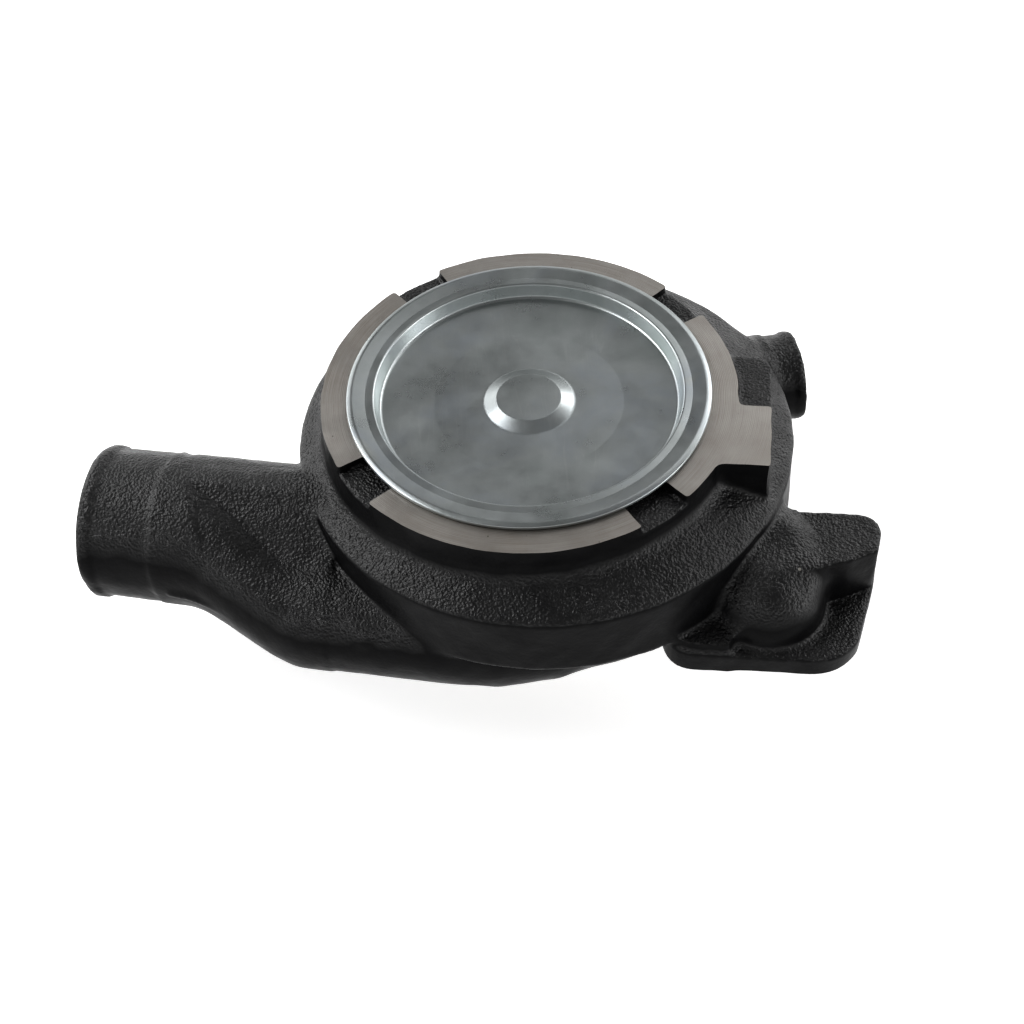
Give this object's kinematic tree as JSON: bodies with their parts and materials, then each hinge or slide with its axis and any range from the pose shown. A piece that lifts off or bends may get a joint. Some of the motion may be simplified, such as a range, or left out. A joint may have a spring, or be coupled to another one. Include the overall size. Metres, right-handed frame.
{
  "type": "engine coolant pump",
  "caption": "Gear-driven engine coolant pump: black cast-iron volute body with inlet spigot, bypass spigot and outlet flange, zinc-plated pressed cover, impeller, seal, bearings and gear.",
  "frame": {"origin": "where the shaft's axis meets the end face of the shaft, flush with the drive gear's end face, on which the pump stands", "axes": "+Z runs along the shaft from the drive gear to the pressed cover; the large inlet spigot points to -X and a little to +Y; the outlet flange is towards +X and -Y and faces down"},
  "size_m": [0.2844, 0.1803, 0.108],
  "materials": {
    "black_casting": "semi-gloss black paint over sand-cast iron, machined faces bare",
    "zinc_cover": "zinc-plated pressed sheet with a faint iridescent passivate",
    "bearing_steel": "ground and polished bearing steel",
    "machined_steel": "turned steel",
    "gear_steel": "cut and ground gear steel, lightly oiled",
    "spring_steel": "hardened spring steel",
    "zinc_hardware": "zinc-plated fastener",
    "cast_iron": "bare grey cast iron",
    "seal_rubber": "moulded nitrile rubber",
    "brass_cup": "drawn brass",
    "cage_brass": "pressed brass",
    "carbon": "lapped carbon graphite",
    "ceramic": "lapped alumina ceramic"
  },
  "bodies": {
    "housing": {"pump_body": "black_casting", "front_cover": "zinc_cover", "cover_o_ring": "seal_rubber", "register_o_ring": "seal_rubber", "rear_bearing_outer_race": "bearing_steel", "front_bearing_outer_race": "bearing_steel", "rear_bearing_shield": "bearing_steel", "front_bearing_shield": "bearing_steel", "bearing_outer_spacer": "bearing_steel", "bearing_snap_ring": "spring_steel", "seal_cup": "brass_cup", "seal_bellows": "seal_rubber", "seal_spring": "spring_steel", "seal_carbon_ring": "carbon"},
    "rotor": {"pump_shaft": "machined_steel", "drive_gear": "gear_steel", "gear_washer": "zinc_hardware", "gear_nut": "zinc_hardware", "impeller": "cast_iron", "rear_bearing_inner_race": "bearing_steel", "front_bearing_inner_race": "bearing_steel", "bearing_inner_spacer": "bearing_steel", "seal_seat": "ceramic", "seal_seat_grommet": "seal_rubber"},
    "rear_ball_set": {"rear_bearing_cage": "cage_brass", "rear_bearing_ball_1": "bearing_steel", "rear_bearing_ball_2": "bearing_steel", "rear_bearing_ball_3": "bearing_steel", "rear_bearing_ball_4": "bearing_steel", "rear_bearing_ball_5": "bearing_steel", "rear_bearing_ball_6": "bearing_steel", "rear_bearing_ball_7": "bearing_steel"},
    "front_ball_set": {"front_bearing_cage": "cage_brass", "front_bearing_ball_1": "bearing_steel", "front_bearing_ball_2": "bearing_steel", "front_bearing_ball_3": "bearing_steel", "front_bearing_ball_4": "bearing_steel", "front_bearing_ball_5": "bearing_steel", "front_bearing_ball_6": "bearing_steel", "front_bearing_ball_7": "bearing_steel"}
  },
  "joints": [
    {"name": "rotor_spin", "type": "hinge", "parent": "housing", "child": "rotor", "pos_m": [0, 0, 0.06], "axis": [0, 0, 1], "continuous": true},
    {"name": "rear_ball_set_spin", "type": "hinge", "parent": "housing", "child": "rear_ball_set", "pos_m": [0, 0, 0.0265], "axis": [0, 0, 1], "continuous": true},
    {"name": "front_ball_set_spin", "type": "hinge", "parent": "housing", "child": "front_ball_set", "pos_m": [0, 0, 0.0475], "axis": [0, 0, 1], "continuous": true}
  ],
  "couplings": [
    {"joint": "rear_ball_set_spin", "follows": "rotor_spin", "ratio": 0.3722},
    {"joint": "front_ball_set_spin", "follows": "rotor_spin", "ratio": 0.3722}
  ]
}
